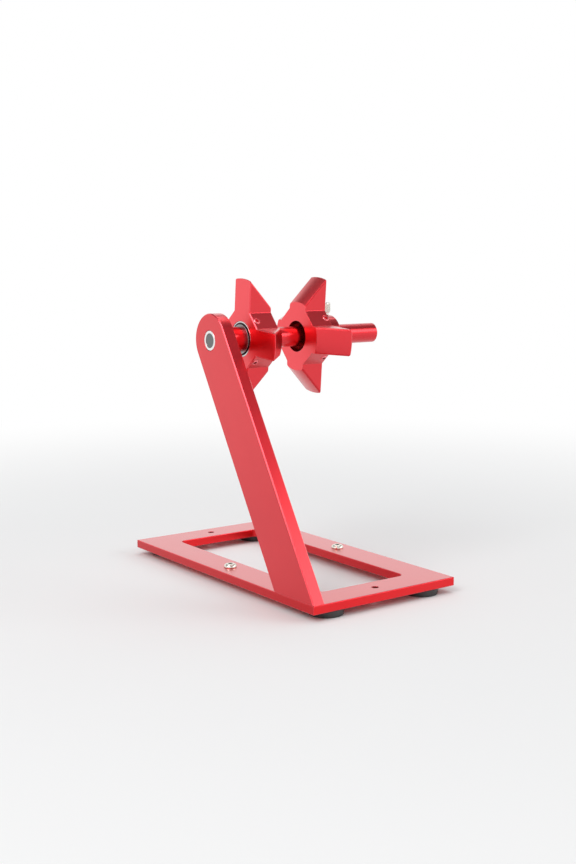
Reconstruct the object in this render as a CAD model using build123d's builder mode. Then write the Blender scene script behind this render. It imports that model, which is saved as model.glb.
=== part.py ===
from build123d import *
import math
import os

# Spool holder stand: a windowed base plate on rubber feet, a flat arm leaning from one corner,
# and an axle with two cone hubs on ball bearings that centre a filament spool between them.
# Millimetres. The origin is the centre of the base plate's underside, +Z is up, and the axle
# runs along +X from the arm.

# ---------------------------------------------------------------- driving dimensions

# base plate
plate_width = 100.0
plate_length = 190.0
plate_thickness = 5.0
side_rim = 20.0
end_rim = 20.0
window_corner_radius = 4.0
plate_edge_chamfer = 0.25
frame_screw_inset = 10.0
end_hole_inset = 10.0
plate_hole_diameter = 4.2

# rubber feet
foot_diameter = 20.0
foot_height = 4.0
foot_taper = 8.0
foot_edge_radius = 0.7
foot_side_inset = 16.0
foot_end_inset = 10.0

# support arm
arm_width = 31.0
arm_thickness = 7.5
arm_edge_chamfer = 0.5
axle_height = 138.7
axle_offset = 3.6

# axle
axle_length = 120.0
axle_diameter = 12.0
shoulder_diameter = 14.5
shim_diameter = 17.0
shim_thickness = 0.5
shim_chamfer = 0.1
core_diameter = 8.4
core_recess = 0.1
arm_end_chamfer = 0.4
free_end_chamfer = 0.5

# ball bearings, 12 x 21 x 5
bearing_outer_diameter = 21.0
bearing_width = 5.0
inner_land_diameter = 14.8
outer_land_diameter = 18.3
ball_diameter = 2.38
ball_count = 12
cage_width = 3.2
cage_wall = 1.0
seal_thickness = 0.45
seal_inset = 0.15
seal_seat_depth = 0.5
race_edge_chamfer = 0.25

# cone hubs
hub_face_from_arm = 21.25
hub_depth = 15.0
hub_large_radius = 35.5
hub_small_radius = 20.5
wing_width = 16.0
wing_corner_radius = 1.2
hub_edge_chamfer = 0.5
hub_flat_radius = 17.0
hub_turn = 5.0
hub_shoulder_diameter = 18.6
bearing_recess = 0.1
spool_width = 40.0
spool_seat_depth = 7.5

# circlip behind the front bearing
circlip_thickness = 1.0
circlip_groove_depth = 0.35
circlip_wall = 1.7
circlip_gap_angle = 30.0
circlip_ear_diameter = 2.6
circlip_ear_hole = 1.1

# lock collar behind the rear hub
collar_diameter = 24.0
collar_width = 9.0
collar_boss_length = 1.5
collar_chamfer = 0.6
knob_diameter = 8.0
knob_height = 6.0
knob_neck_diameter = 6.0
knob_stem_height = 1.6
knob_flute_count = 18
knob_flute_radius = 0.45

# screws
m4_diameter = 4.0
m4_head_diameter = 7.6
m4_head_height = 2.2
m4_head_flat_radius = 1.9
m4_head_arc_rise = 0.35
m4_socket_width = 2.5
m4_socket_depth = 1.4
frame_screw_length = 8.0
hub_screw_length = 6.9
hub_screw_socket_width = 2.0
hub_screw_socket_depth = 2.0
m3_diameter = 3.0
m3_head_diameter = 6.0
m3_head_height = 1.7
m3_socket_width = 2.0
m3_socket_depth = 1.1
arm_screw_length = 16.0
arm_screw_spacing = 14.0
arm_screw_hole_spare = 1.0
screw_tip_chamfer = 0.4

# clearances on the radius, or on one face
fixed_fit = 0.02
running_fit = 0.05
raceway_gap = 0.10
pocket_gap = 0.12
seal_gap = 0.08

# ---------------------------------------------------------------- places worked out from them

window_width = plate_width - 2 * side_rim
window_length = plate_length - 2 * end_rim
frame_screw_spacing = plate_width - 2 * frame_screw_inset
end_hole_spacing = plate_length - 2 * end_hole_inset
foot_x = plate_width / 2 - foot_side_inset
foot_y = plate_length / 2 - foot_end_inset

arm_outer_x = -plate_width / 2
arm_inner_x = arm_outer_x + arm_thickness
axle_end_x = arm_outer_x + axle_length
front_face_x = arm_outer_x + hub_face_from_arm
rear_face_x = front_face_x + spool_width + 2 * spool_seat_depth
front_bearing_x = front_face_x + bearing_recess + bearing_width / 2
rear_bearing_x = rear_face_x - bearing_recess - bearing_width / 2
shoulder_end_x = front_bearing_x - bearing_width / 2 - shim_thickness
circlip_x = front_bearing_x + bearing_width / 2
collar_start_x = rear_bearing_x + bearing_width / 2

axle_radius = axle_diameter / 2
pitch_radius = (inner_land_diameter + outer_land_diameter) / 4
race_groove_radius = ball_diameter / 2 + raceway_gap
axle_axis = Axis((0, axle_offset, axle_height), (1, 0, 0))
hub_screw_angles = [45.0, 135.0, 225.0, 315.0]


def axle_plane(x):
    """Plane for turned profiles about the axle: its x is the radius, its y runs along the axle."""
    return Plane(origin=(x, axle_offset, axle_height), x_dir=(0, 0, 1), z_dir=(0, 1, 0))


def hub_plane(x, outward):
    """Plane of a hub's outer face. outward is -1 or 1 along the axle."""
    turn = math.radians(hub_turn)
    return Plane(
        origin=(x, axle_offset, axle_height),
        x_dir=(0, math.cos(turn), math.sin(turn)),
        z_dir=(outward, 0, 0),
    )


def radial_plane(base, angle, radius):
    """Plane that faces away from base's normal axis, at an angle and a radius about it."""
    turn = math.radians(angle)
    out = base.x_dir * math.cos(turn) + base.y_dir * math.sin(turn)
    return Plane(base.origin + out * radius, x_dir=base.z_dir, z_dir=out)


def save(piece, label):
    piece.part.label = label
    export_step(piece.part, f"parts/{label}.step")


# ---------------------------------------------------------------- base plate and feet


def make_base_plate():
    with BuildPart() as plate:
        with BuildSketch():
            Rectangle(plate_width, plate_length)
            RectangleRounded(window_width, window_length, window_corner_radius, mode=Mode.SUBTRACT)
        extrude(amount=plate_thickness)
        top_and_bottom = plate.faces().filter_by(Axis.Z)
        chamfer(top_and_bottom.edges(), length=plate_edge_chamfer)
        with Locations((0, 0, plate_thickness)):
            with GridLocations(frame_screw_spacing, 0, 2, 1):
                Hole(radius=plate_hole_diameter / 2)
            with GridLocations(0, end_hole_spacing, 1, 2):
                Hole(radius=plate_hole_diameter / 2)
        with Locations(*arm_screw_heads()):
            CounterSinkHole(
                radius=m3_diameter / 2 + running_fit,
                counter_sink_radius=m3_head_diameter / 2 + running_fit,
                depth=plate_thickness,
            )
    return plate


def make_foot(x, y):
    with BuildPart() as foot:
        with BuildSketch(Plane((x, y, 0), z_dir=(0, 0, -1))):
            Circle(foot_diameter / 2)
        extrude(amount=foot_height, taper=foot_taper)
        fillet(foot.faces().sort_by(Axis.Z)[0].edges(), radius=foot_edge_radius)
    return foot


# ---------------------------------------------------------------- support arm and its screws


def arm_lean():
    """Angle of the arm from upright when its front edge starts at the plate's corner."""
    run = axle_offset + plate_length / 2
    rise = axle_height - plate_thickness
    return math.atan2(run, rise) - math.asin(arm_width / 2 / math.hypot(run, rise))


def arm_foot_length():
    return arm_width / math.cos(arm_lean())


def arm_screw_heads():
    """Locations of the countersunk heads in the plate's underside, facing down."""
    middle = -plate_length / 2 + arm_foot_length() / 2 + arm_screw_length * math.tan(arm_lean()) / 4
    x = (arm_outer_x + arm_inner_x) / 2
    spots = [middle - arm_screw_spacing / 2, middle + arm_screw_spacing / 2]
    return [Plane((x, y, 0), z_dir=(0, 0, -1)).location for y in spots]


def make_support_arm():
    lean = arm_lean()
    half = arm_width / 2
    along = Vector(math.sin(lean), math.cos(lean))
    across = Vector(-math.cos(lean), math.sin(lean))
    head = Vector(axle_offset, axle_height)
    front_top = head + across * half
    back_top = head - across * half
    front_foot = front_top - along * ((front_top.Y - plate_thickness) / along.Y)
    back_foot = back_top - along * ((back_top.Y - plate_thickness) / along.Y)
    with BuildPart() as arm:
        with BuildSketch(Plane.YZ.offset(arm_outer_x)):
            with BuildLine():
                Line(back_top, back_foot)
                Line(back_foot, front_foot)
                Line(front_foot, front_top)
                ThreePointArc(front_top, head + along * half, back_top)
            make_face()
        extrude(amount=arm_thickness)
        side_edges = arm.faces().filter_by(Axis.X).edges()
        foot_edges = arm.faces().sort_by(Axis.Z)[0].edges()
        chamfer([edge for edge in side_edges if edge not in foot_edges], length=arm_edge_chamfer)
        with Locations(Plane((arm_outer_x, axle_offset, axle_height), z_dir=(-1, 0, 0)).location):
            Hole(radius=axle_radius + fixed_fit, depth=arm_thickness)
        for head_place in arm_screw_heads():
            with BuildSketch(Plane((head_place.position.X, head_place.position.Y, plate_thickness))):
                Circle(m3_diameter / 2 + fixed_fit)
            extrude(amount=arm_screw_length - plate_thickness + arm_screw_hole_spare, mode=Mode.SUBTRACT)
    return arm


def make_arm_screws():
    with BuildPart() as screws:
        for head_place in arm_screw_heads():
            axis_plane = Plane(head_place.position, x_dir=(1, 0, 0), z_dir=(0, -1, 0))
            with BuildSketch(axis_plane):
                with BuildLine():
                    Polyline(
                        (0, 0),
                        (m3_head_diameter / 2, 0),
                        (m3_diameter / 2, m3_head_height),
                        (m3_diameter / 2, arm_screw_length - screw_tip_chamfer),
                        (m3_diameter / 2 - screw_tip_chamfer, arm_screw_length),
                        (0, arm_screw_length),
                        close=True,
                    )
                make_face()
            revolve(axis=Axis(head_place.position, (0, 0, 1)))
            with BuildSketch(Plane(head_place.position)):
                RegularPolygon(m3_socket_width / 2, 6, major_radius=False)
            extrude(amount=m3_socket_depth, mode=Mode.SUBTRACT)
    return screws


def make_frame_screws():
    """Button-head screws, their heads on the plate."""
    with BuildPart() as screws:
        for side in (-1, 1):
            seat = Vector(side * frame_screw_spacing / 2, 0, plate_thickness)
            with BuildSketch(Plane(seat, x_dir=(1, 0, 0), z_dir=(0, -1, 0))):
                with BuildLine():
                    crown = Line((0, m4_head_height), (m4_head_flat_radius, m4_head_height))
                    SagittaArc(crown @ 1, (m4_head_diameter / 2, 0), m4_head_arc_rise)
                    Polyline(
                        (m4_head_diameter / 2, 0),
                        (m4_diameter / 2, 0),
                        (m4_diameter / 2, screw_tip_chamfer - frame_screw_length),
                        (m4_diameter / 2 - screw_tip_chamfer, -frame_screw_length),
                        (0, -frame_screw_length),
                        (0, m4_head_height),
                    )
                make_face()
            revolve(axis=Axis(seat, (0, 0, 1)))
            with BuildSketch(Plane(seat + Vector(0, 0, m4_head_height))):
                RegularPolygon(m4_socket_width / 2, 6, major_radius=False)
            extrude(amount=-m4_socket_depth, mode=Mode.SUBTRACT)
    return screws


# ---------------------------------------------------------------- axle


def make_axle():
    """Turned tube: a spigot in the arm, a shoulder for the front bearing and a long free end."""
    bore = core_diameter / 2 + fixed_fit
    shoulder = shoulder_diameter / 2
    groove = axle_radius - circlip_groove_depth
    groove_end_x = circlip_x + circlip_thickness + fixed_fit
    with BuildPart() as axle:
        with BuildSketch(axle_plane(0)):
            with BuildLine():
                Polyline(
                    (bore, arm_outer_x),
                    (axle_radius - arm_end_chamfer, arm_outer_x),
                    (axle_radius, arm_outer_x + arm_end_chamfer),
                    (axle_radius, arm_inner_x),
                    (shoulder, arm_inner_x),
                    (shoulder, shoulder_end_x),
                    (axle_radius, shoulder_end_x),
                    (axle_radius, circlip_x),
                    (groove, circlip_x),
                    (groove, groove_end_x),
                    (axle_radius, groove_end_x),
                    (axle_radius, axle_end_x - free_end_chamfer),
                    (axle_radius - free_end_chamfer, axle_end_x),
                    (bore, axle_end_x),
                    close=True,
                )
            make_face()
        revolve(axis=axle_axis)
    return axle


def make_axle_core():
    with BuildPart() as core:
        with BuildSketch(Plane.YZ.offset(arm_outer_x + core_recess)):
            with Locations((axle_offset, axle_height)):
                Circle(core_diameter / 2)
        extrude(amount=axle_length - 2 * core_recess)
        chamfer(core.faces().filter_by(Axis.X).edges(), length=core_recess)
    return core


def make_shim():
    """Washer between the axle's shoulder and the front bearing's inner race."""
    with BuildPart() as shim:
        with BuildSketch(hub_plane(shoulder_end_x, 1)):
            Circle(shim_diameter / 2)
            Circle(axle_radius + running_fit, mode=Mode.SUBTRACT)
        extrude(amount=shim_thickness)
        chamfer(shim.edges().filter_by(GeomType.CIRCLE), length=shim_chamfer)
    return shim


def make_circlip():
    """External retaining ring, open at the bottom, with two eared ends."""
    inner = axle_radius - circlip_groove_depth + fixed_fit
    outer = inner + circlip_wall
    half_gap = math.radians(circlip_gap_angle / 2)
    ear_angle = half_gap + circlip_ear_diameter / 2 / outer
    ear_spots = [(side * outer * math.sin(ear_angle), -outer * math.cos(ear_angle)) for side in (-1, 1)]
    reach = outer + circlip_ear_diameter
    with BuildPart() as circlip:
        with BuildSketch(Plane((circlip_x, axle_offset, axle_height), x_dir=(0, 1, 0), z_dir=(1, 0, 0))):
            Circle(outer)
            with Locations(*ear_spots):
                Circle(circlip_ear_diameter / 2)
            Circle(inner, mode=Mode.SUBTRACT)
            with Locations(*ear_spots):
                Circle(circlip_ear_hole / 2, mode=Mode.SUBTRACT)
            with BuildLine():
                Polyline(
                    (0, 0),
                    (-reach * math.tan(half_gap), -reach),
                    (reach * math.tan(half_gap), -reach),
                    close=True,
                )
            make_face(mode=Mode.SUBTRACT)
        extrude(amount=circlip_thickness)
    return circlip


# ---------------------------------------------------------------- ball bearings


def make_inner_race(middle_x, bore_fit):
    bore = axle_radius + bore_fit
    land = inner_land_diameter / 2
    half = bearing_width / 2
    with BuildPart() as race:
        with BuildSketch(axle_plane(middle_x)):
            with BuildLine():
                Polyline(
                    (bore, -half),
                    (land - race_edge_chamfer, -half),
                    (land, -half + race_edge_chamfer),
                    (land, half - race_edge_chamfer),
                    (land - race_edge_chamfer, half),
                    (bore, half),
                    close=True,
                )
            make_face()
            with Locations((pitch_radius, 0)):
                Circle(race_groove_radius, mode=Mode.SUBTRACT)
        revolve(axis=axle_axis)
    return race


def make_outer_race(middle_x):
    rim = bearing_outer_diameter / 2
    land = outer_land_diameter / 2
    seat = land + seal_seat_depth
    shelf = bearing_width / 2 - seal_inset - seal_thickness
    half = bearing_width / 2
    with BuildPart() as race:
        with BuildSketch(axle_plane(middle_x)):
            with BuildLine():
                Polyline(
                    (seat, -half),
                    (rim - race_edge_chamfer, -half),
                    (rim, -half + race_edge_chamfer),
                    (rim, half - race_edge_chamfer),
                    (rim - race_edge_chamfer, half),
                    (seat, half),
                    (seat, shelf),
                    (land, shelf),
                    (land, -shelf),
                    (seat, -shelf),
                    close=True,
                )
            make_face()
            with Locations((pitch_radius, 0)):
                Circle(race_groove_radius, mode=Mode.SUBTRACT)
        revolve(axis=axle_axis)
    return race


def make_seal(middle_x, side):
    """Flat ring seated in the outer race. side is -1 or 1 along the axle."""
    inner = inner_land_diameter / 2 + seal_gap
    outer = outer_land_diameter / 2 + seal_seat_depth - fixed_fit
    shelf_x = middle_x + side * (bearing_width / 2 - seal_inset - seal_thickness)
    with BuildPart() as seal:
        with BuildSketch(hub_plane(shelf_x, side)):
            Circle(outer)
            Circle(inner, mode=Mode.SUBTRACT)
        extrude(amount=seal_thickness)
    return seal


def make_balls(middle_x):
    with BuildPart() as balls:
        with Locations(hub_plane(middle_x, 1).location):
            with PolarLocations(pitch_radius, ball_count):
                Sphere(ball_diameter / 2)
    return balls


def make_cage(middle_x):
    middle = hub_plane(middle_x, 1)
    pockets = [radial_plane(middle, 360 * ball / ball_count, 0) for ball in range(ball_count)]
    with BuildPart() as cage:
        with BuildSketch(hub_plane(middle_x - cage_width / 2, 1)):
            Circle(pitch_radius + cage_wall / 2)
            Circle(pitch_radius - cage_wall / 2, mode=Mode.SUBTRACT)
        extrude(amount=cage_width)
        with BuildSketch(*pockets):
            Circle(ball_diameter / 2 + pocket_gap)
        extrude(amount=pitch_radius + cage_wall, mode=Mode.SUBTRACT)
    return cage


# ---------------------------------------------------------------- cone hubs


def hub_screw_planes(face):
    """Planes of the four diagonal flats, centred on the set screws, facing outwards."""
    middle = face.offset(-bearing_recess - bearing_width / 2)
    return [radial_plane(middle, angle, hub_flat_radius) for angle in hub_screw_angles]


def make_hub(face):
    """Four wings with a cone turned on their ends, and a bearing pocket in the outer face."""
    into_hub = Plane(face.origin, x_dir=face.x_dir, z_dir=face.y_dir)
    square = hub_flat_radius * 2
    span = hub_large_radius * 2
    with BuildPart() as hub:
        with BuildSketch(face):
            Rectangle(span, wing_width)
            Rectangle(wing_width, span)
            Rectangle(square, square, rotation=45)
        extrude(amount=-hub_depth)
        with BuildSketch(into_hub):
            with BuildLine():
                Polyline(
                    (0, 0),
                    (hub_large_radius, 0),
                    (hub_small_radius, hub_depth),
                    (0, hub_depth),
                    close=True,
                )
            make_face()
        revolve(axis=Axis(face.origin, face.z_dir), mode=Mode.INTERSECT)
        tip_corners = [
            edge
            for edge in hub.edges()
            if abs((edge @ 0 - edge @ 1).dot(face.z_dir)) > hub_depth * 0.99
            and (edge @ 0.5 - face.origin).length > hub_flat_radius * math.sqrt(2)
        ]
        fillet(tip_corners, radius=wing_corner_radius)
        outer_face = hub.faces().sort_by(Axis(face.origin, face.z_dir))[-1]
        chamfer(outer_face.outer_wire().edges(), length=hub_edge_chamfer)
        with Locations(face.location):
            CounterBoreHole(
                radius=hub_shoulder_diameter / 2,
                counter_bore_radius=bearing_outer_diameter / 2 + fixed_fit,
                counter_bore_depth=bearing_recess + bearing_width,
                depth=hub_depth,
            )
        for flat in hub_screw_planes(face):
            with Locations(flat.location):
                Hole(radius=m4_diameter / 2 + fixed_fit, depth=hub_flat_radius - bearing_outer_diameter / 2)
    return hub


def make_hub_screws(face):
    """Set screws whose points press on the bearing's outer race."""
    point = bearing_outer_diameter / 2 + fixed_fit - hub_flat_radius
    with BuildPart() as screws:
        with BuildSketch(*[flat.offset(point) for flat in hub_screw_planes(face)]):
            Circle(m4_diameter / 2)
        extrude(amount=hub_screw_length)
        chamfer(screws.edges().filter_by(GeomType.CIRCLE), length=screw_tip_chamfer)
        with BuildSketch(*[flat.offset(point + hub_screw_length) for flat in hub_screw_planes(face)]):
            RegularPolygon(hub_screw_socket_width / 2, 6, major_radius=False)
        extrude(amount=-hub_screw_socket_depth, mode=Mode.SUBTRACT)
    return screws


# ---------------------------------------------------------------- lock collar


def collar_screw_plane():
    """Plane on the axle's axis under the collar's screw, facing up."""
    return Plane((collar_start_x + collar_boss_length + collar_width / 2, axle_offset, axle_height))


def make_lock_collar():
    bore = axle_radius + running_fit
    boss = shoulder_diameter / 2
    rim = collar_diameter / 2
    body_x = collar_start_x + collar_boss_length
    end_x = body_x + collar_width
    with BuildPart() as collar:
        with BuildSketch(axle_plane(0)):
            with BuildLine():
                Polyline(
                    (bore, collar_start_x),
                    (boss, collar_start_x),
                    (boss, body_x),
                    (rim - collar_chamfer, body_x),
                    (rim, body_x + collar_chamfer),
                    (rim, end_x - collar_chamfer),
                    (rim - collar_chamfer, end_x),
                    (bore, end_x),
                    close=True,
                )
            make_face()
        revolve(axis=axle_axis)
        with BuildSketch(collar_screw_plane()):
            Circle(m4_diameter / 2 + running_fit)
        extrude(amount=collar_diameter, mode=Mode.SUBTRACT)
    return collar


def make_collar_screw():
    """Thumb screw through the collar onto the axle, with a fluted head."""
    foot = collar_screw_plane().offset(axle_radius + running_fit)
    rim = collar_screw_plane().offset(collar_diameter / 2 + running_fit)
    shank = collar_diameter / 2 - axle_radius + knob_stem_height
    with BuildPart() as screw:
        with BuildSketch(foot):
            Circle(m4_diameter / 2)
        extrude(amount=shank)
        chamfer(screw.edges().sort_by(Axis.Z)[0], length=screw_tip_chamfer)
        with BuildSketch(rim):
            Circle(knob_neck_diameter / 2)
        extrude(amount=knob_stem_height)
        with BuildSketch(rim.offset(knob_stem_height)):
            Circle(knob_diameter / 2)
        extrude(amount=knob_height)
        chamfer(screw.faces().sort_by(Axis.Z)[-1].edges(), length=screw_tip_chamfer)
        with BuildSketch(rim.offset(knob_stem_height)):
            with PolarLocations(knob_diameter / 2, knob_flute_count):
                Circle(knob_flute_radius)
        extrude(amount=knob_height, mode=Mode.SUBTRACT)
    return screw


# ---------------------------------------------------------------- all pieces

os.makedirs("parts", exist_ok=True)

save(make_base_plate(), "base_plate")
save(make_support_arm(), "support_arm")
save(make_arm_screws(), "arm_screws")
save(make_frame_screws(), "frame_screws")
for end, y_side in (("front", -1), ("back", 1)):
    for side, x_side in (("left", -1), ("right", 1)):
        save(make_foot(x_side * foot_x, y_side * foot_y), f"foot_{end}_{side}")

save(make_axle(), "axle")
save(make_axle_core(), "axle_core")
save(make_shim(), "front_shim")
save(make_circlip(), "front_circlip")

for end, face_x, middle_x, outward, bore_fit in (
    ("front", front_face_x, front_bearing_x, -1, fixed_fit),
    ("rear", rear_face_x, rear_bearing_x, 1, running_fit),
):
    hub_face = hub_plane(face_x, outward)
    save(make_hub(hub_face), f"{end}_hub")
    save(make_hub_screws(hub_face), f"{end}_hub_screws")
    save(make_inner_race(middle_x, bore_fit), f"{end}_bearing_inner_race")
    save(make_outer_race(middle_x), f"{end}_bearing_outer_race")
    save(make_seal(middle_x, outward), f"{end}_bearing_outer_seal")
    save(make_seal(middle_x, -outward), f"{end}_bearing_inner_seal")
    save(make_balls(middle_x), f"{end}_bearing_balls")
    save(make_cage(middle_x), f"{end}_bearing_cage")

save(make_lock_collar(), "lock_collar")
save(make_collar_screw(), "collar_screw")
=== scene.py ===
import bmesh
import bpy
import math
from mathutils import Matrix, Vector


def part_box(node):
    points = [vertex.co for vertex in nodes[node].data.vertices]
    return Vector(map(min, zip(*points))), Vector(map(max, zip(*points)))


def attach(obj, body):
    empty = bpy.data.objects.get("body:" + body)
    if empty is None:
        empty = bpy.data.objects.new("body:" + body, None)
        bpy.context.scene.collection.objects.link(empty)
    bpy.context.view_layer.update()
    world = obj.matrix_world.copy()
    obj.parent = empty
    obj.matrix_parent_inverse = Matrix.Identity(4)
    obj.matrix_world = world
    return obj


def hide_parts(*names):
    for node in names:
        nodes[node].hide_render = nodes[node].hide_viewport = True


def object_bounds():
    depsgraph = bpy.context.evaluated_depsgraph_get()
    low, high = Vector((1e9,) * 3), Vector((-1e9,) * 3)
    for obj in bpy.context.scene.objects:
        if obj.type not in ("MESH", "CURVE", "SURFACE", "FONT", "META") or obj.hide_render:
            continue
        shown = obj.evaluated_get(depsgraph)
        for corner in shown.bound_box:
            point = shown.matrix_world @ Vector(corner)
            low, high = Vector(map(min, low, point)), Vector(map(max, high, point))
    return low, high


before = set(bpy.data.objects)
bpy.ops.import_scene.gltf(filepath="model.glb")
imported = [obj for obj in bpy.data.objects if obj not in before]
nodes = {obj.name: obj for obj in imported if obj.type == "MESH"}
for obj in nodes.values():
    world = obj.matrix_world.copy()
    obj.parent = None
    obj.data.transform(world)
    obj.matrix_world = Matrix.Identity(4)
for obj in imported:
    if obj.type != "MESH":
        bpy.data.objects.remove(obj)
cad_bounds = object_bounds()


def corners(box):
    """The lowest and the highest corner of a box, as vectors."""
    low, high = box
    return Vector(low), Vector(high)


# ---------------------------------------------------------------- shader maths


class Signal:
    """One output socket of a material. Arithmetic on signals adds Math nodes to its tree."""

    def __init__(self, tree, socket):
        self.tree = tree
        self.socket = socket

    def node(self, kind, settings, inputs, output=0):
        """Adds a node. Settings are its properties; inputs are values or signals."""
        return add_node(self.tree, kind, settings, inputs, output)

    def math(self, operation, *values):
        """Adds a Math node that works on these values or signals."""
        return self.node("ShaderNodeMath", {"operation": operation}, dict(enumerate(values)))

    def __add__(self, other):
        return self.math("ADD", self, other)

    def __radd__(self, other):
        return self.math("ADD", other, self)

    def __sub__(self, other):
        return self.math("SUBTRACT", self, other)

    def __rsub__(self, other):
        return self.math("SUBTRACT", other, self)

    def __mul__(self, other):
        return self.math("MULTIPLY", self, other)

    def __rmul__(self, other):
        return self.math("MULTIPLY", other, self)

    def __pow__(self, other):
        return self.math("POWER", self, other)

    def above(self, value):
        """1 where the signal is above the value, and 0 elsewhere."""
        return self.math("GREATER_THAN", self, value)

    def below(self, value):
        """1 where the signal is below the value, and 0 elsewhere."""
        return self.math("LESS_THAN", self, value)

    def unsigned(self):
        """The signal without its sign."""
        return self.math("ABSOLUTE", self)

    def either(self, other):
        """The larger of two signals."""
        return self.math("MAXIMUM", self, other)

    def swing(self, width):
        """Turns a signal from 0 to 1 into one that swings about 0, as wide as width in all."""
        return (self - 0.5) * width

    def rise(self, start, end):
        """0 before start and 1 after end, with a smooth slope between."""
        settings = {"interpolation_type": "SMOOTHSTEP"}
        return self.node("ShaderNodeMapRange", settings, {0: self, 1: start, 2: end})

    def axis(self, name):
        """One part of a vector: X, Y or Z."""
        return self.node("ShaderNodeSeparateXYZ", {}, {0: self}, "XYZ".index(name))

    def from_line(self, y, z):
        """The distance from a line along X through that y and z."""
        inputs = {"Vector": self, "Location": (0, -y, -z), "Scale": (0, 1, 1)}
        return self.node("ShaderNodeMapping", {}, inputs).length()

    def length(self):
        return self.node("ShaderNodeVectorMath", {"operation": "LENGTH"}, {0: self}, "Value")

    def dot(self, other):
        settings = {"operation": "DOT_PRODUCT"}
        return self.node("ShaderNodeVectorMath", settings, {0: self, 1: other}, "Value")

    def noise(self, size, detail=3.0, roughness=0.5):
        """Fractal noise from 0 to 1 whose largest lumps are about size metres across."""
        inputs = {"Vector": self, "Scale": 1 / size, "Detail": detail, "Roughness": roughness}
        return self.node("ShaderNodeTexNoise", {}, inputs)

    def bands(self, size):
        """Noise from 0 to 1 along a distance in metres, in bands about size wide."""
        inputs = {"W": self, "Scale": 1 / size, "Detail": 2.0}
        return self.node("ShaderNodeTexNoise", {"noise_dimensions": "1D"}, inputs)

    def colours(self, low, high):
        """Mixes two colours by this signal."""
        return self.node("ShaderNodeMix", {"data_type": "RGBA"}, {0: self, 6: low, 7: high}, 2)

    def bump(self, depth, normal):
        """A normal that this signal lifts by up to depth metres."""
        return self.node("ShaderNodeBump", {}, {"Height": self, "Distance": depth, "Normal": normal})


def add_node(tree, kind, settings, inputs, output=0):
    """Adds a node to a tree and gives the signal of one of its outputs."""
    made = tree.nodes.new(kind)
    for name, value in settings.items():
        setattr(made, name, value)
    for name, value in inputs.items():
        plug(tree, made.inputs[name], value)
    return Signal(tree, made.outputs[output])


def plug(tree, socket, value):
    """Links a signal to a socket, or sets the socket's own value."""
    if isinstance(value, Signal):
        tree.links.new(value.socket, socket)
    else:
        socket.default_value = value


# How far the softened normal has turned from the flat one where an edge begins to show and where it
# shows in full, both as one minus the cosine of the angle.
EDGE_TURN = (0.004, 0.06)


class Finish:
    """A Principled material with the signals that its colours are made from.

    place is the position on the piece in metres, rounded is the normal with softened edges, and edge
    is 1 on sharp edges."""

    def __init__(self, name, edge_width=0.0004, **constants):
        self.material = bpy.data.materials.new(name)
        self.material.use_nodes = True
        self.tree = self.material.node_tree
        self.shader = self.tree.nodes["Principled BSDF"]
        self.place = add_node(self.tree, "ShaderNodeTexCoord", {}, {}, "Object")
        self.rounded = add_node(self.tree, "ShaderNodeBevel", {"samples": 4}, {"Radius": edge_width})
        flat = add_node(self.tree, "ShaderNodeNewGeometry", {}, {}, "Normal")
        self.edge = (1.0 - self.rounded.dot(flat)).rise(*EDGE_TURN)
        for name, value in constants.items():
            self.set(name, value)

    def tilt(self):
        """How squarely a face looks along the axle, from 0 to 1."""
        return add_node(self.tree, "ShaderNodeNewGeometry", {}, {}, "True Normal").axis("X").unsigned()

    def set(self, name, value):
        """Gives a shader input a value or a signal. Underscores in the name stand for spaces."""
        plug(self.tree, self.shader.inputs[name.replace("_", " ")], value)


# ---------------------------------------------------------------- finishes


def rgb(red, green, blue):
    """A solid colour, from linear channels between 0 and 1."""
    return (red, green, blue, 1.0)


# Each pair holds the two reds that a dyed surface is mottled between.
FULL_DYE = (rgb(0.69, 0.012, 0.022), rgb(0.79, 0.020, 0.033))
# The brighter pair is painted light for the faces square to the axle.
PAINTED_LIGHT_ON_FACES = (rgb(0.88, 0.034, 0.050), rgb(0.95, 0.044, 0.062))
FADED_DYE = (rgb(0.90, 0.16, 0.19), rgb(0.97, 0.30, 0.34))
# Painted shade for the plate's long sides and painted light for its short ends.
PAINTED_SHADE_ON_SIDES = rgb(0.62, 0.005, 0.011)
PAINTED_LIGHT_ON_ENDS = rgb(0.90, 0.014, 0.019)
# The colour of sharp edges and chamfers: partly wear, partly a painted highlight.
EDGE_WEAR_AND_HIGHLIGHT = rgb(0.93, 0.070, 0.095)
BARE_ALUMINIUM = rgb(0.86, 0.86, 0.85)
# Near black, painted into key sockets as painted shade.
PAINTED_SOCKET_SHADE = rgb(0.020, 0.022, 0.018)

# How wide the marks in the finishes are, in metres.
MOTTLE = 0.018
BLASTED_GRAIN = 0.00028
LATHE_RINGS = 0.0004
SMUDGES = 0.004
METAL_GRAIN = 0.0002
MOULD_TEXTURE = 0.0003
DUST = 0.004

# How deep they are.
ANODISED_RELIEF = 0.000010
METAL_RELIEF = 0.000005
RUBBER_RELIEF = 0.00002

# The tilt above which a face is square to the axle, and the tilts between which it is a chamfer.
SQUARE_TILT = 0.9
CHAMFER_TILTS = (0.6, 0.8)

axle_low, axle_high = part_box("axle")


def turned_rings(place):
    """Fine rings about the axle's axis, as a lathe leaves them along a piece and across its ends."""
    radius = place.from_line((axle_low[1] + axle_high[1]) / 2, (axle_low[2] + axle_high[2]) / 2)
    return (radius + place.axis("X")).bands(LATHE_RINGS)


def outside(place, ends):
    """1 where x is below the first of two ends or above the second."""
    x = place.axis("X")
    return x.below(ends[0]).either(x.above(ends[1]))


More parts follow.
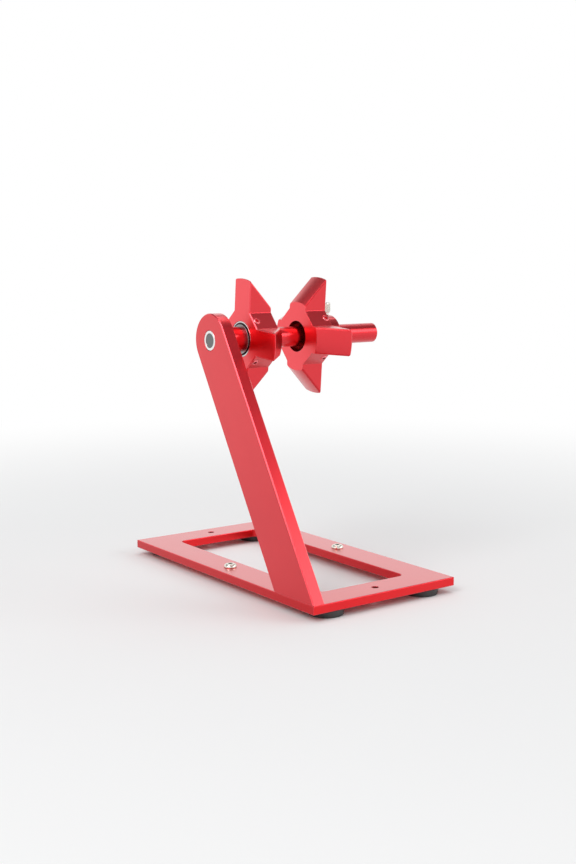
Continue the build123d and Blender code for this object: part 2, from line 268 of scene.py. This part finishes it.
def anodised(
    name,
    roughness,
    coat,
    dye=FULL_DYE,
    faces=None,
    chamfers=None,
    bare_ends=None,
    turned=0.0,
    hazy_above=None,
):
    """Aluminium with a red dyed oxide: grained, faintly mottled, paler at sharp edges, or turned.

    coat is how much the clear oxide over the dye shines, and dye the two reds of the mottling.
    faces gives two other reds for the faces square to the axle, which were faced in a lathe.
    chamfers gives a low and a high x. Past them, faces at 45 degrees are painted paler, partly as cut
    after the blasting and partly as a painted highlight.
    bare_ends gives a low and a high x. Past them the piece was cut bare.
    Above the height hazy_above the blasting left a haze. Below it the milled sides are clearer and
    carry painted shade on the long sides and painted light on the ends."""
    finish = Finish(name, edge_width=0.0005, Metallic=1.0, Coat_Roughness=0.20, Coat_IOR=1.47)
    place = finish.place
    tilt = finish.tilt()
    mottle = place.noise(MOTTLE, detail=5.0)
    grain = place.noise(BLASTED_GRAIN, detail=2.0)
    edge = finish.edge
    # Chamfers join the edge mask and are painted paler: partly cut, partly a painted highlight.
    if chamfers:
        slanted = tilt.above(CHAMFER_TILTS[0]) * tilt.below(CHAMFER_TILTS[1])
        edge = edge.either(outside(place, chamfers) * slanted)
    tone = mottle * 0.6 + grain * 0.4
    colour = tone.colours(*dye)
    # Painted light: faces square to the axle get the brighter reds.
    if faces:
        colour = tilt.above(SQUARE_TILT).colours(colour, tone.colours(*faces))
    # Edges painted pale: partly wear, partly a painted highlight.
    colour = (edge * (0.6 + mottle * 0.4)).colours(colour, EDGE_WEAR_AND_HIGHLIGHT)
    rough = roughness + mottle.swing(0.05) + grain.swing(0.12) - edge * 0.08
    coat = coat - edge * 0.2
    # Below hazy_above the sides get painted shade on the long sides and painted light on the ends.
    if hazy_above is not None:
        side = place.axis("Z").below(hazy_above) * (1.0 - edge)
        colour = (side * 0.8).colours(colour, tilt.colours(PAINTED_LIGHT_ON_ENDS, PAINTED_SHADE_ON_SIDES))
        coat = coat - side * 0.5
    if bare_ends:
        bare = outside(place, bare_ends)
        colour = bare.colours(colour, BARE_ALUMINIUM)
        coat = coat * (1.0 - bare)
        rough = rough - bare * 0.12
    relief = grain * (1.0 - turned) + turned_rings(place) * turned
    finish.set("Base Color", colour)
    finish.set("Roughness", rough)
    finish.set("Coat Weight", coat)
    finish.set("Normal", relief.bump(ANODISED_RELIEF, finish.rounded))
    return finish.material


def metal(name, colour, roughness, spread=0.06, shine=1.15, turned=True, sockets=None):
    """Bare or plated metal, turned or grained, with smudges. spread is how far its roughness varies.

    shine is how much brighter its edges are painted, for wear and as a painted highlight. sockets
    gives the x, y, radius and top of a key socket with painted shade in it, which has a twin at minus
    x."""
    finish = Finish(name, edge_width=0.0002, Metallic=1.0)
    place = finish.place
    smudge = place.noise(SMUDGES, detail=5.0)
    marks = turned_rings(place) if turned else place.noise(METAL_GRAIN, detail=2.0)
    dull = rgb(*[channel * 0.82 for channel in colour])
    # Edges are painted brighter: wear, and where shine is large a painted highlight.
    worn_and_highlight = rgb(*[min(0.95, channel * shine + 0.03) for channel in colour])
    tone = smudge.colours(dull, rgb(*colour))
    tone = (finish.edge * 0.8).colours(tone, worn_and_highlight)
    if sockets:
        x, y, radius, top = sockets
        aside = place.axis("X").unsigned() - x
        across = place.axis("Y") - y
        around = (aside * aside + across * across).below(radius * radius)
        inside = around * place.axis("Z").below(top)
        # Painted shade: the key socket is painted nearly black.
        tone = (inside * 0.93).colours(tone, PAINTED_SOCKET_SHADE)
    finish.set("Base Color", tone)
    finish.set("Roughness", roughness + smudge.swing(spread) + marks.swing(spread))
    finish.set("Normal", marks.bump(METAL_RELIEF, finish.rounded))
    return finish.material


def rubber(name, shade, roughness):
    """Black rubber or nylon from a mould: fine texture, dust and rubbed edges."""
    finish = Finish(name, Specular_IOR_Level=0.45)
    place = finish.place
    texture = place.noise(MOULD_TEXTURE, detail=3.0)
    dust = place.noise(DUST, detail=6.0) ** 3.0
    clean = rgb(shade, shade, shade)
    dusty = rgb(shade * 2.6, shade * 2.5, shade * 2.4)
    rubbed = rgb(shade * 3.0, shade * 3.0, shade * 2.9)
    finish.set("Base Color", (finish.edge * 0.5).colours(dust.colours(clean, dusty), rubbed))
    finish.set("Roughness", roughness + texture.swing(0.2) + dust * 0.15)
    finish.set("Normal", texture.bump(RUBBER_RELIEF, finish.rounded))
    return finish.material


# ---------------------------------------------------------------- floor, light and camera

WHITE = rgb(1.0, 1.0, 1.0)
PAPER = (rgb(0.86, 0.86, 0.86), rgb(0.89, 0.89, 0.89))
FLOOR_SPAN = 12.0
PAPER_CLOUDS = 0.3

# The distances from the stand between which the lit floor fades into white.
FLOOR_FADE = (0.14, 0.75)

# The sines of the heights above the horizon between which the white round the stand dims, and between
# which the dim band gives way to the ceiling.
DIMMING = (0.52, 0.68)
CEILING_EDGE = (0.74, 0.90)
DIM_BAND = rgb(0.20, 0.20, 0.21)
CEILING = rgb(0.72, 0.72, 0.73)
AMBIENT = rgb(0.95, 0.96, 0.97)
AMBIENT_STRENGTH = 0.54

STAND_MIDDLE = Vector((0, 0, 0.08))


def seen(tree):
    """1 on rays from the camera and on rays that a shiny or clear surface sends out."""
    camera, glossy, clear = (
        add_node(tree, "ShaderNodeLightPath", {}, {}, f"Is {kind} Ray")
        for kind in ("Camera", "Glossy", "Transmission")
    )
    return camera.either(glossy).either(clear)


def pale_floor():
    """White paper under the stand that runs out into the white of the background."""
    floor_height = cad_bounds[0][2]
    bpy.ops.mesh.primitive_plane_add(size=FLOOR_SPAN, location=(0, 0, floor_height))
    floor = bpy.context.active_object
    floor.name = "floor"
    finish = Finish("floor_paper", Roughness=0.9)
    tree = finish.tree
    finish.set("Base Color", finish.place.noise(PAPER_CLOUDS).colours(*PAPER))
    glow = add_node(tree, "ShaderNodeEmission", {}, {"Color": WHITE, "Strength": 1.0})
    far = finish.place.length().rise(*FLOOR_FADE) * seen(tree)
    paper = Signal(tree, finish.shader.outputs[0])
    mixed = add_node(tree, "ShaderNodeMixShader", {}, {0: far, 1: paper, 2: glow})
    plug(tree, tree.nodes["Material Output"].inputs["Surface"], mixed)
    floor.data.materials.append(finish.material)


def surroundings():
    """White all round up to a third of the way to the zenith, then a dim band and a pale ceiling."""
    world = bpy.data.worlds.new("studio")
    world.use_nodes = True
    tree = world.node_tree
    height = add_node(tree, "ShaderNodeTexCoord", {}, {}, "Generated").axis("Z")
    wall = height.rise(*DIMMING).colours(WHITE, DIM_BAND)
    shown = height.rise(*CEILING_EDGE).colours(wall, CEILING)
    ambient = {"Color": AMBIENT, "Strength": AMBIENT_STRENGTH}
    lighting = add_node(tree, "ShaderNodeBackground", {}, ambient)
    scenery = add_node(tree, "ShaderNodeBackground", {}, {"Color": shown, "Strength": 1.0})
    mixed = add_node(tree, "ShaderNodeMixShader", {}, {0: seen(tree), 1: lighting, 2: scenery})
    plug(tree, tree.nodes["World Output"].inputs["Surface"], mixed)
    bpy.context.scene.world = world


def soft_light(name, place, width, height, watts):
    """A rectangular lamp that faces the middle of the stand."""
    light = bpy.data.lights.new(name, "AREA")
    light.shape = "RECTANGLE"
    light.size = width
    light.size_y = height
    light.energy = watts
    lamp = bpy.data.objects.new(name, light)
    lamp.location = place
    lamp.rotation_euler = (STAND_MIDDLE - Vector(place)).to_track_quat("-Z", "Y").to_euler()
    bpy.context.collection.objects.link(lamp)


def studio_camera():
    """A long lens that looks down a little at the stand's middle, from the arm's side.

    azimuth is measured from +Y towards +X, and drop is how far the view points below level."""
    azimuth = math.radians(35.69)
    drop = math.radians(8.18)
    roll = math.radians(-0.26)
    aim = Vector((0.0046, 0.0032, 0.0812))
    distance = 0.738
    level = Vector((math.sin(azimuth), math.cos(azimuth), 0))
    forward = level * math.cos(drop) - Vector((0, 0, math.sin(drop)))
    data = bpy.data.cameras.new("camera")
    data.sensor_width = 36.0
    data.lens = 50.9
    data.clip_start = 0.01
    camera = bpy.data.objects.new("camera", data)
    camera.location = aim - forward * distance
    camera.rotation_euler = forward.to_track_quat("-Z", "Y").to_euler()
    camera.rotation_euler.rotate_axis("Z", roll)
    bpy.context.collection.objects.link(camera)
    bpy.context.scene.camera = camera


# ---------------------------------------------------------------- shaping by hand

# How near to a rim an edge has to lie to count as part of it, how upright the normal of a level
# face is, and the angle below which the shading runs smoothly over an edge.
TOUCH = 0.00001
LEVEL = 0.99
SMOOTH_BELOW = math.radians(32)


def select(*pieces):
    """Selects only these pieces and makes the first of them active."""
    bpy.ops.object.select_all(action="DESELECT")
    for piece in pieces:
        piece.select_set(True)
    bpy.context.view_layer.objects.active = pieces[0]


def start(add, **settings):
    """Adds one primitive and opens it for editing, with nothing else selected."""
    bpy.ops.object.select_all(action="DESELECT")
    add(**settings)
    piece = bpy.context.active_object
    bpy.ops.object.mode_set(mode="EDIT")
    return piece


def pick(piece, kind, test):
    """Selects the faces whose middle and normal, or the edges whose middle and run, pass the test."""
    bpy.ops.mesh.select_mode(type=kind)
    bpy.ops.mesh.select_all(action="DESELECT")
    shape = bmesh.from_edit_mesh(piece.data)
    if kind == "FACE":
        for face in shape.faces:
            face.select_set(test(face.calc_center_median(), face.normal))
    else:
        for edge in shape.edges:
            middle = (edge.verts[0].co + edge.verts[1].co) / 2
            edge.select_set(test(middle, edge.verts[1].co - edge.verts[0].co))
    shape.select_flush_mode()
    bmesh.update_edit_mesh(piece.data)


def looks_up(middle, normal):
    """Passes the level faces that look up."""
    return normal.z > LEVEL


def looks_down(middle, normal):
    """Passes the level faces that look down."""
    return normal.z < -LEVEL


def is_level(middle, normal):
    """Passes the level faces on both sides."""
    return abs(normal.z) > LEVEL


def top_rim(height):
    """Passes the level edges at the top of a piece of that height whose middle is its origin."""
    return lambda middle, run: middle.z > height / 2 - TOUCH and abs(run.z) < TOUCH


def bottom_rim(height):
    """Passes the level edges at the bottom of such a piece."""
    return lambda middle, run: middle.z < -height / 2 + TOUCH and abs(run.z) < TOUCH


def inset(steps):
    """Insets the selected faces step by step. Each step is a width and a rise."""
    for width, rise in steps:
        bpy.ops.mesh.inset(thickness=width, depth=rise)


def modify(piece, kind, **settings):
    """Adds one modifier and applies it."""
    select(piece)
    modifier = piece.modifiers.new(kind.lower(), kind)
    for name, value in settings.items():
        setattr(modifier, name, value)
    bpy.ops.object.modifier_apply(modifier=modifier.name)


def settle(piece):
    """Ends editing, puts the piece's place into its mesh and smooths its shading."""
    bpy.ops.object.mode_set(mode="OBJECT")
    select(piece)
    bpy.ops.object.transform_apply(location=True, rotation=True, scale=True)
    bpy.ops.object.shade_smooth_by_angle(angle=SMOOTH_BELOW)


def join(name, *pieces):
    """Joins the pieces into the first of them and names it."""
    select(*pieces)
    bpy.ops.object.join()
    pieces[0].name = name
    return pieces[0]


def finished(piece, name, body, node, material):
    """Names a piece, gives it its one material and puts it in a CAD node's place."""
    piece.name = name
    piece.data.materials.clear()
    piece.data.materials.append(material)
    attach(piece, body)
    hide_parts(node)


# ---------------------------------------------------------------- rubber feet

# How wide a foot's underside is against its top, its rounded rims, and the insets of its underside.
FOOT_TAPER = 0.951
FOOT_LOWER_ROUND = 0.0007
FOOT_UPPER_ROUND = 0.0003
FOOT_STEPS = ((0.0012, 0), (0.0003, -0.0006), (0.0016, 0), (0.0003, 0.0004))


def moulded_foot(node):
    """A bumper that narrows downwards, with rounded rims and, under it, a pad inside a sunk ring."""
    low, high = corners(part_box(node))
    height = high.z - low.z
    foot = start(
        bpy.ops.mesh.primitive_cylinder_add,
        vertices=96,
        radius=(high.x - low.x) / 2,
        depth=height,
        location=(low + high) / 2,
    )
    pick(foot, "FACE", looks_down)
    bpy.ops.transform.resize(value=(FOOT_TAPER, FOOT_TAPER, 1.0))
    bpy.ops.mesh.bevel(offset=FOOT_LOWER_ROUND, segments=4)
    pick(foot, "FACE", looks_down)
    inset(FOOT_STEPS)
    pick(foot, "EDGE", top_rim(height))
    bpy.ops.mesh.bevel(offset=FOOT_UPPER_ROUND, segments=2)
    settle(foot)
    return foot


# ---------------------------------------------------------------- threaded screws

# The M4 thread: its pitch, its radii at crest and root, the radius of its three-sided ridge, how far
# above the point it starts, and how much of the shank it leaves plain.
PITCH = 0.0007
THREAD_RADIUS = 0.0020
ROOT_RADIUS = 0.00158
RIDGE_RADIUS = 0.0003
THREAD_START = 0.0005
THREAD_SHORTFALL = 0.0008
STEPS_PER_TURN = 24
POINT_CHAMFER = 0.0003

# How far a shank reaches up into its head.
SHANK_IN_HEAD = 0.0004


def threaded_shank(bottom, top):
    """An M4 shank along Z with a helical V thread and a chamfered point."""
    length = top - bottom
    shank = start(
        bpy.ops.mesh.primitive_cylinder_add,
        vertices=32,
        radius=ROOT_RADIUS,
        depth=length,
        location=(0, 0, (top + bottom) / 2),
    )
    pick(shank, "EDGE", bottom_rim(length))
    bpy.ops.mesh.bevel(offset=POINT_CHAMFER, segments=1)
    settle(shank)
    ridge = start(
        bpy.ops.mesh.primitive_circle_add,
        vertices=3,
        radius=RIDGE_RADIUS,
        rotation=(math.pi / 2, math.pi / 2, 0),
        location=(THREAD_RADIUS - RIDGE_RADIUS, 0, bottom + THREAD_START),
    )
    settle(ridge)
    modify(
        ridge,
        "SCREW",
        angle=2 * math.pi,
        screw_offset=PITCH,
        iterations=int((length - THREAD_SHORTFALL) / PITCH),
        steps=STEPS_PER_TURN,
        render_steps=STEPS_PER_TURN,
        use_smooth_shade=True,
    )
    bpy.ops.object.mode_set(mode="EDIT")
    bpy.ops.mesh.select_all(action="SELECT")
    bpy.ops.mesh.fill_holes(sides=3)
    bpy.ops.mesh.normals_make_consistent(inside=False)
    bpy.ops.object.mode_set(mode="OBJECT")
    return join("threaded_shank", shank, ridge)


# The button head's key socket, the shares of its height that its dome and its rounded rim take,
# the dome's roundness, and its broken edges.
SOCKET_WIDTH = 0.0025
SOCKET_DEPTH = 0.0014
DOME_SHARE = 0.84
RIM_SHARE = 0.14
DOME_PROFILE = 0.52
BROKEN_EDGE = 0.00007
SHARP_ABOVE = math.radians(40)

SECOND_SCREW_TURN = math.radians(22)


def cut_socket(piece, top):
    """Cuts a hexagonal key socket down into a head whose top is at that height."""
    cutter = start(
        bpy.ops.mesh.primitive_cylinder_add,
        vertices=6,
        radius=SOCKET_WIDTH / math.sqrt(3),
        depth=SOCKET_DEPTH * 2,
        location=(0, 0, top),
    )
    bpy.ops.object.mode_set(mode="OBJECT")
    modify(piece, "BOOLEAN", object=cutter, operation="DIFFERENCE", solver="EXACT")
    bpy.data.objects.remove(cutter)


def button_head(radius, height):
    """A domed head standing on z = 0, with a flat crown, a rounded rim and a hexagonal socket."""
    head = start(
        bpy.ops.mesh.primitive_cylinder_add,
        vertices=64,
        radius=radius,
        depth=height,
        location=(0, 0, height / 2),
    )
    pick(head, "EDGE", top_rim(height))
    bpy.ops.mesh.bevel(offset=height * DOME_SHARE, segments=10, profile=DOME_PROFILE)
    pick(head, "EDGE", bottom_rim(height))
    bpy.ops.mesh.bevel(offset=height * RIM_SHARE, segments=3)
    settle(head)
    cut_socket(head, height)
    modify(
        head,
        "BEVEL",
        width=BROKEN_EDGE,
        segments=2,
        limit_method="ANGLE",
        angle_limit=SHARP_ABOVE,
    )
    return head


def frame_screw_pair():
    """Both button-head screws of the frame holes, modelled once and copied."""
    low, high = corners(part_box("frame_screws"))
    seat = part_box("base_plate")[1][2]
    radius = (high.y - low.y) / 2
    middle = (high.y + low.y) / 2
    head = button_head(radius, high.z - seat)
    shank = threaded_shank(low.z - seat, SHANK_IN_HEAD)
    first = join("frame_screw", head, shank)
    select(first)
    bpy.ops.object.duplicate(linked=False)
    second = bpy.context.active_object
    first.location = (low.x + radius, middle, seat)
    second.location = (high.x - radius, middle, seat)
    second.rotation_euler = (0, 0, SECOND_SCREW_TURN)
    pair = join("frame_screws_threaded", first, second)
    settle(pair)
    return pair


# The thumb screw's knob, whose every other side is a groove, and the neck under it.
KNOB_SIDES = 72
KNOB_HEIGHT = 0.006
KNOB_ROUND = 0.0005
KNURL_WIDTH = 0.00004
KNURL_DEPTH = 0.00028
KNOB_DISH_STEPS = ((0.0007, 0), (0.0004, -0.0004))
NECK_RADIUS = 0.003
NECK_IN_KNOB = 0.0002
NECK_ROUND = 0.0002


def knurl_groove(middle, normal):
    """Passes every other side of the thumb screw's knob."""
    side = math.degrees(math.atan2(normal.y, normal.x)) * KNOB_SIDES / 360
    return abs(normal.z) < 1 - LEVEL and round(side - 0.5) % 2 == 0


def knurled_knob(radius, base):
    """A straight-knurled head that stands on the height base, with a dished top."""
    head = start(
        bpy.ops.mesh.primitive_cylinder_add,
        vertices=KNOB_SIDES,
        radius=radius,
        depth=KNOB_HEIGHT,
        location=(0, 0, base + KNOB_HEIGHT / 2),
    )
    pick(head, "FACE", is_level)
    bpy.ops.mesh.bevel(offset=KNOB_ROUND, segments=3)
    pick(head, "FACE", knurl_groove)
    bpy.ops.mesh.inset(thickness=KNURL_WIDTH, depth=-KNURL_DEPTH, use_individual=True)
    pick(head, "FACE", looks_up)
    inset(KNOB_DISH_STEPS)
    settle(head)
    return head


def plain_neck(bottom, top):
    """The round neck between the thumb screw's thread and its knob."""
    neck = start(
        bpy.ops.mesh.primitive_cylinder_add,
        vertices=48,
        radius=NECK_RADIUS,
        depth=top - bottom,
        location=(0, 0, (top + bottom) / 2),
    )
    pick(neck, "FACE", is_level)
    bpy.ops.mesh.bevel(offset=NECK_ROUND, segments=2)
    settle(neck)
    return neck


def thumb_screw():
    """The lock collar's screw: threaded shank, neck and a straight-knurled head."""
    low, high = corners(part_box("collar_screw"))
    collar_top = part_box("lock_collar")[1][2]
    knob_base = high.z - KNOB_HEIGHT
    knob = knurled_knob((high.x - low.x) / 2, knob_base)
    neck = plain_neck(collar_top, knob_base + NECK_IN_KNOB)
    shank = threaded_shank(low.z, collar_top + SHANK_IN_HEAD)
    screw = join("collar_thumb_screw", knob, neck, shank)
    screw.location = ((low.x + high.x) / 2, (low.y + high.y) / 2, 0)
    settle(screw)
    return screw


# ---------------------------------------------------------------- bearing seals

# The seal's bore, and the insets from its rim to its web.
SEAL_BORE_RADIUS = 0.00748
SEAL_STEPS = ((0.00040, 0), (0.00008, -0.00012), (0.00090, 0), (0.00012, 0.00008))


def bore_rim(middle, run):
    """Passes the level edges round a seal's bore."""
    return abs(run.z) < TOUCH / 10 and math.hypot(middle.x, middle.y) < SEAL_BORE_RADIUS + TOUCH


def lipped_seal(node, side):
    """A flat rubber ring with a crimped rim, a sunk web and a lip at its bore.

    side is -1 or 1, the way along the axle that its outer face looks."""
    low, high = corners(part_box(node))
    radius = (high.z - low.z) / 2
    width = radius - SEAL_BORE_RADIUS
    seal = start(
        bpy.ops.mesh.primitive_cylinder_add,
        vertices=96,
        radius=radius,
        depth=high.x - low.x,
        location=(low + high) / 2,
        rotation=(0, side * math.pi / 2, 0),
    )
    pick(seal, "FACE", looks_up)
    inset(SEAL_STEPS)
    inset([(width - sum(step[0] for step in SEAL_STEPS), 0)])
    bpy.ops.mesh.delete(type="FACE")
    pick(seal, "FACE", looks_down)
    inset([(width, 0)])
    bpy.ops.mesh.delete(type="FACE")
    pick(seal, "EDGE", bore_rim)
    bpy.ops.mesh.bridge_edge_loops()
    settle(seal)
    return seal


# ---------------------------------------------------------------- finishes on the pieces

# How deep the bare cut at each end of the axle and the clear milled sides of the plate begin, how
# wide the band is that holds a chamfer, and the size and depth of the painted shade in a key socket.
BARE_CUT = 0.00006
SIDE_START = 0.0002
CHAMFER_BAND = 0.0005
SOCKET_SHADE_RADIUS = 0.00150
SOCKET_SHADE_DEPTH = 0.00006


def dress(material, *names):
    """Gives CAD nodes their one material."""
    for name in names:
        mesh = nodes[name].data
        mesh.materials.clear()
        mesh.materials.append(material)


screw_low, screw_high = corners(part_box("frame_screws"))
screw_radius = (screw_high.y - screw_low.y) / 2
# Where the painted shade goes in the button heads' key sockets.
socket = (
    screw_high.x - screw_radius,
    screw_high.y - screw_radius,
    SOCKET_SHADE_RADIUS,
    screw_high.z - SOCKET_SHADE_DEPTH,
)
# Below this height the plate's sides carry painted shade and painted light.
clear_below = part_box("base_plate")[1][2] - SIDE_START
axle_ends = (axle_low[0] + BARE_CUT, axle_high[0] - BARE_CUT)
arm_chamfers = (
    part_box("support_arm")[0][0] + CHAMFER_BAND,
    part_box("support_arm")[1][0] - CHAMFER_BAND,
)
hub_chamfers = (
    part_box("front_hub")[0][0] + CHAMFER_BAND,
    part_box("rear_hub")[1][0] - CHAMFER_BAND,
)

red_plate = anodised("red_anodised_plate", roughness=0.30, coat=1.0, hazy_above=clear_below)
red_arm = anodised("red_anodised_arm", roughness=0.31, coat=0.90, chamfers=arm_chamfers)
red_hub = anodised(
    "red_anodised_hub", roughness=0.33, coat=1.0, faces=PAINTED_LIGHT_ON_FACES, chamfers=hub_chamfers
)
red_turned = anodised("red_anodised_turned", roughness=0.22, coat=0.90, turned=0.6)
red_screw = anodised("red_anodised_screws", roughness=0.22, coat=1.0, dye=FADED_DYE, turned=0.3)
red_axle = anodised(
    "red_anodised_axle", roughness=0.30, coat=0.80, bare_ends=axle_ends, turned=0.6
)
nickel = metal("nickel_plate", (0.80, 0.77, 0.70), roughness=0.12, turned=False)
button = metal(
    "nickel_button_heads", (0.86, 0.83, 0.74), roughness=0.12, turned=False, sockets=socket
)
grey_steel = metal("grey_steel", (0.20, 0.21, 0.21), roughness=0.40, spread=0.16)
bearing_steel = metal("bearing_steel", (0.76, 0.76, 0.76), roughness=0.14)
# A large shine paints a highlight on the shim's rims.
shim_steel = metal("shim_steel", (0.34, 0.34, 0.345), roughness=0.30, shine=2.5)
black_oxide = metal("black_oxide_steel", (0.06, 0.06, 0.065), roughness=0.38, turned=False)
foot_rubber = rubber("moulded_rubber", shade=0.034, roughness=0.40)
seal_rubber = rubber("seal_rubber", shade=0.010, roughness=0.42)
cage_nylon = rubber("cage_nylon", shade=0.10, roughness=0.50)

dress(red_plate, "base_plate")
dress(red_arm, "support_arm")
dress(red_hub, "front_hub", "rear_hub")
dress(red_axle, "axle")
dress(red_turned, "lock_collar")
dress(red_screw, "front_hub_screws", "rear_hub_screws")
dress(grey_steel, "axle_core")
dress(shim_steel, "front_shim")
dress(black_oxide, "arm_screws", "front_circlip")
for end in ("front", "rear"):
    bearing = f"{end}_bearing_"
    dress(bearing_steel, bearing + "inner_race", bearing + "outer_race", bearing + "balls")
    dress(cage_nylon, bearing + "cage")

for end in ("front", "back"):
    for side in ("left", "right"):
        node = f"foot_{end}_{side}"
        finished(moulded_foot(node), f"rubber_{node}", "stand", node, foot_rubber)
finished(frame_screw_pair(), "frame_screws_threaded", "stand", "frame_screws", button)
finished(thumb_screw(), "collar_thumb_screw", "collar_screw", "collar_screw", nickel)
for end, outward in (("front", -1), ("rear", 1)):
    for place, side in (("outer", outward), ("inner", -outward)):
        node = f"{end}_bearing_{place}_seal"
        name = f"{end}_{place}_lip_seal"
        finished(lipped_seal(node, side), name, f"{end}_hub", node, seal_rubber)


# ---------------------------------------------------------------- studio

pale_floor()
surroundings()
soft_light("key", place=(-1.06, -0.27, 1.12), width=0.9, height=0.9, watts=8.5)
soft_light("side", place=(1.05, -0.98, 0.74), width=1.1, height=0.6, watts=4.6)
soft_light("top", place=(0.35, 0.45, 1.5), width=1.2, height=1.2, watts=5.0)
studio_camera()
bpy.context.scene.view_settings.view_transform = "Standard"
